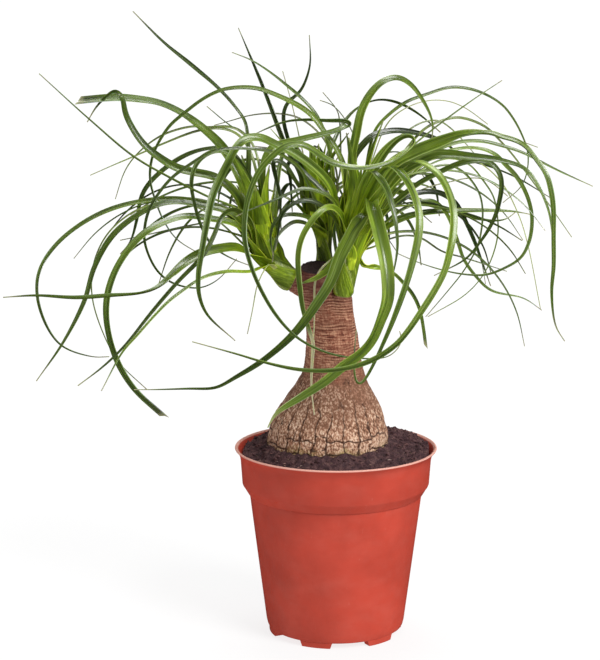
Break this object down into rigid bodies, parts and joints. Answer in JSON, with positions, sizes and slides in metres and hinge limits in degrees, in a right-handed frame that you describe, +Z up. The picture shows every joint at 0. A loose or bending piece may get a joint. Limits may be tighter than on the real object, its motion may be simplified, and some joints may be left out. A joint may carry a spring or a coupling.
{
  "type": "potted ponytail palm",
  "caption": "Young ponytail palm with a swollen corky trunk and long arching leaves, standing in soil in a plastic nursery pot.",
  "frame": {"origin": "on the pot's axis, on the flat pad in the middle of its underside, level with the surface that the feet stand on", "axes": "+Z up along the pot's axis, -Y towards the side that shows the trunk's cut top and the long hanging leaves, +X to the right of that view"},
  "size_m": [0.3902, 0.3585, 0.4285],
  "materials": {
    "pot_plastic": "terracotta-coloured thin moulded plastic, satin",
    "peat_soil": "dark brown crumbly peat, matt",
    "cork_bark": "corky bark, cracked into plates on the bulb and ringed on the neck, matt",
    "green_leaf": "long leathery leaf, finely veined, with a soft sheen"
  },
  "bodies": {
    "root": {"pot": "pot_plastic", "soil": "peat_soil", "trunk": "cork_bark", "left_shoot": "green_leaf", "right_shoot": "green_leaf", "middle_shoot": "green_leaf"}
  },
  "joints": []
}
